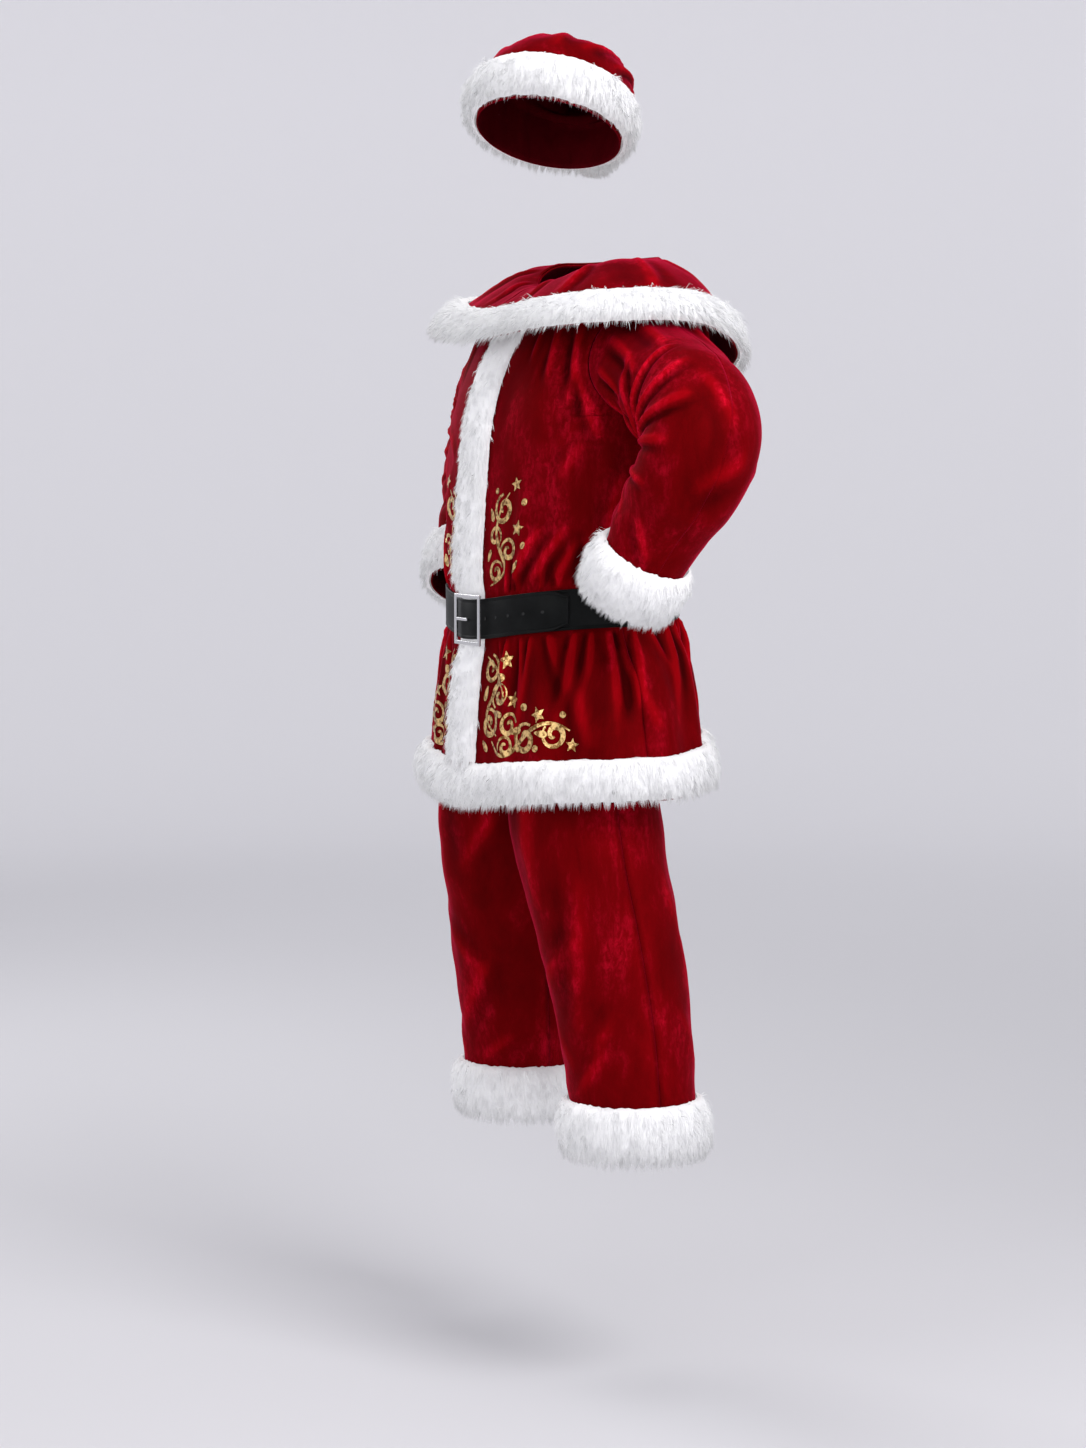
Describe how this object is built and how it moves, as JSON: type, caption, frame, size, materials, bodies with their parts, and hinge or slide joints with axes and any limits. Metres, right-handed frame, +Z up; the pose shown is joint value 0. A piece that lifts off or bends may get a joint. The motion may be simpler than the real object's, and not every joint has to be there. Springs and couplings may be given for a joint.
{
  "type": "santa suit",
  "caption": "Red velvet and white fur Santa suit as worn: hat, shoulder cape, belted coat and trousers, hollow, with the hands-on-hips pose kept.",
  "frame": {"origin": "middle of the coat's neck opening, level with its edge at the shoulders", "axes": "+X to the wearer's left, -Y to the wearer's front, +Z up"},
  "size_m": [0.8776, 0.3772, 1.443],
  "materials": {
    "velvet": "crushed velvet, soft sheen",
    "fur": "long soft white artificial fur",
    "leatherette": "matt black leatherette with a fine grain",
    "steel": "satin plate"
  },
  "bodies": {
    "root": {"hat_crown": "velvet", "hat_brim": "fur", "hat_pompom": "fur", "cape_body": "velvet", "cape_fur": "fur", "coat_front_left": "velvet", "coat_front_right": "velvet", "coat_back": "velvet", "sleeve_front_left": "velvet", "sleeve_back_left": "velvet", "sleeve_front_right": "velvet", "sleeve_back_right": "velvet", "sleeve_cuff_left": "fur", "sleeve_cuff_right": "fur", "coat_placket": "fur", "coat_hem_fur": "fur", "belt_strap": "leatherette", "belt_buckle": "steel", "buckle_prong": "steel", "trouser_front_left": "velvet", "trouser_back_left": "velvet", "trouser_front_right": "velvet", "trouser_back_right": "velvet", "trouser_waistband": "velvet", "leg_cuff_left": "fur", "leg_cuff_right": "fur"}
  },
  "joints": []
}
